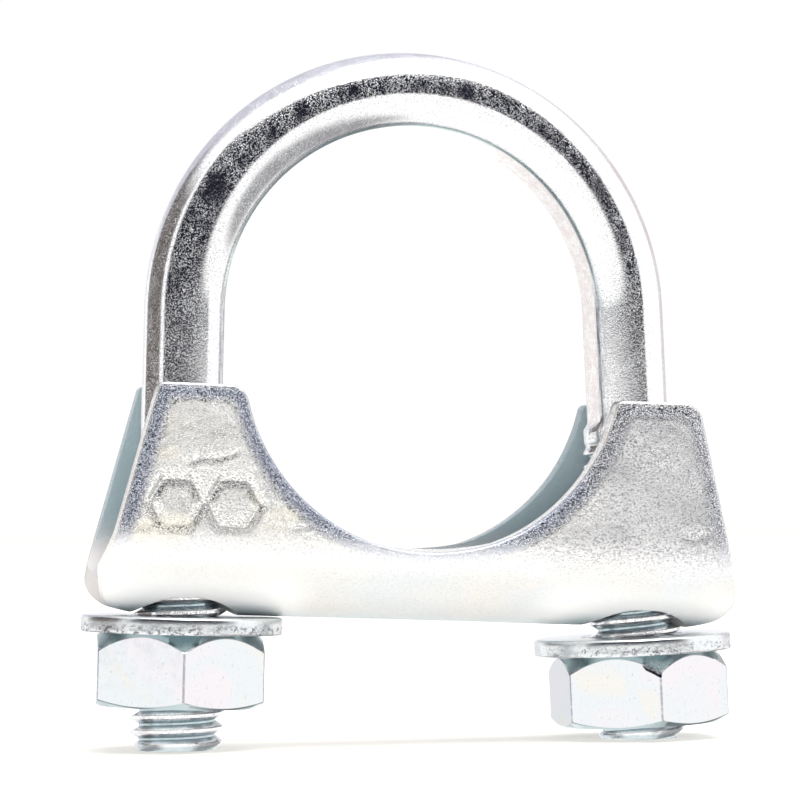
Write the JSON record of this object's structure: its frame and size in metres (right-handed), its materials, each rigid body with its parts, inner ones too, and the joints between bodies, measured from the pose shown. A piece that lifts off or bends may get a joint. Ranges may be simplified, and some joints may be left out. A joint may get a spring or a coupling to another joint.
{
  "type": "saddle clamp u-bolt",
  "caption": "Pipe clamp made of a bent threaded rod, a pressed saddle that slides on its legs, washers and hexagon nuts.",
  "frame": {"origin": "centre of the pipe seat inside the arch, midway across the rod", "axes": "+Z towards the top of the arch, +X from the left leg to the right leg, +Y along the pipe and away from the front"},
  "size_m": [0.0689, 0.0208, 0.0721],
  "materials": {
    "zinc_rod": "bright zinc plating on drawn rod, mottled by small plating pits",
    "zinc_sheet": "bright zinc plating on pressed sheet, granular on the flanges and smooth on the bend",
    "zinc_washer": "bright zinc plating, dark rub marks on the rim",
    "zinc_nut": "bright zinc plating with a faint blue and pink passivated tint"
  },
  "bodies": {
    "rod": {"u_bolt": "zinc_rod"},
    "saddle": {"saddle": "zinc_sheet"},
    "left_washer": {"left_washer": "zinc_washer"},
    "right_washer": {"right_washer": "zinc_washer"},
    "left_nut": {"left_nut": "zinc_nut"},
    "right_nut": {"right_nut": "zinc_nut"}
  },
  "joints": [
    {"name": "saddle_slide", "type": "slide", "parent": "rod", "child": "saddle", "axis": [0, 0, 1], "range_m": [-0.0006, 0.017]},
    {"name": "left_washer_slide", "type": "slide", "parent": "rod", "child": "left_washer", "axis": [0.0349, 0, 0.9994], "range_m": [-0.0007, 0.0171]},
    {"name": "right_washer_slide", "type": "slide", "parent": "rod", "child": "right_washer", "axis": [-0.0349, 0, 0.9994], "range_m": [-0.0007, 0.0171]},
    {"name": "left_nut_turn", "type": "hinge", "parent": "left_washer", "child": "left_nut", "pos_m": [-0.02319, 0, 0.00081], "axis": [0.0349, 0, 0.9994], "range_deg": [-150, 4090]},
    {"name": "right_nut_turn", "type": "hinge", "parent": "right_washer", "child": "right_nut", "pos_m": [0.02319, 0, 0.00081], "axis": [-0.0349, 0, 0.9994], "range_deg": [-150, 4090]}
  ],
  "couplings": [
    {"joint": "left_washer_slide", "follows": "saddle_slide", "ratio": 1.0006},
    {"joint": "right_washer_slide", "follows": "saddle_slide", "ratio": 1.0006},
    {"joint": "left_nut_turn", "follows": "saddle_slide", "rad_per_m": 4191.3},
    {"joint": "right_nut_turn", "follows": "saddle_slide", "rad_per_m": 4191.3}
  ]
}
